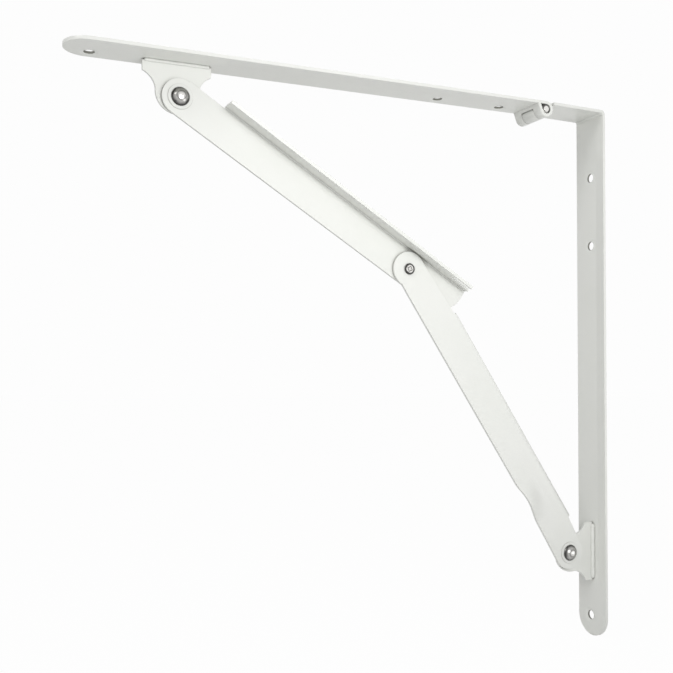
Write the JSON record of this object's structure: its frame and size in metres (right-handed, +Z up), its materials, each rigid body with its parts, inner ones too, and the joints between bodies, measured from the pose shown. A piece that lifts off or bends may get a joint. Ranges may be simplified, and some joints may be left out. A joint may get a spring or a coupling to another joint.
{
  "type": "drop leaf table bracket",
  "caption": "Folding drop leaf bracket of white coated sheet steel: wall plate, hinged arm and a jointed strut with a flanged upper link.",
  "frame": {"origin": "centre of the upper wall screw hole, on the wall plane at the back of the wall plate", "axes": "+Z up along the wall plate, +X into the wall, -X out along the arm towards its tip, Y across the width of the strips with the domed rivet heads on the -Y side"},
  "size_m": [0.3035, 0.023, 0.3066],
  "materials": {
    "white_coat": "satin white powder coat",
    "bright_rivet": "bright plated steel"
  },
  "bodies": {
    "wall_side": {"wall_plate": "white_coat", "wall_ear": "white_coat", "wall_rivet": "bright_rivet", "pin_middle": "bright_rivet"},
    "lower_strut": {"lower_link": "white_coat"},
    "upper_strut": {"upper_link": "white_coat", "middle_rivet": "bright_rivet"},
    "leaf_arm": {"arm": "white_coat", "arm_ear": "white_coat", "arm_rivet": "bright_rivet", "pin_near_end": "bright_rivet", "pin_far_end": "bright_rivet"}
  },
  "joints": [
    {"name": "wall_pivot", "type": "hinge", "parent": "wall_side", "child": "lower_strut", "pos_m": [-0.02, 0, -0.2191], "axis": [0, -1, 0], "range_deg": [-33.46, 0]},
    {"name": "middle_pivot", "type": "hinge", "parent": "lower_strut", "child": "upper_strut", "pos_m": [-0.12404, 0, -0.06032], "axis": [0, -1, 0], "range_deg": [0, 146.98]},
    {"name": "arm_pivot", "type": "hinge", "parent": "upper_strut", "child": "leaf_arm", "pos_m": [-0.24874, 0, 0.016], "axis": [0, -1, 0], "range_deg": [-27.62, 0]}
  ],
  "couplings": [
    {"joint": "wall_pivot", "follows": "middle_pivot", "ratio": -0.22729},
    {"joint": "arm_pivot", "follows": "middle_pivot", "ratio": -0.18759}
  ]
}
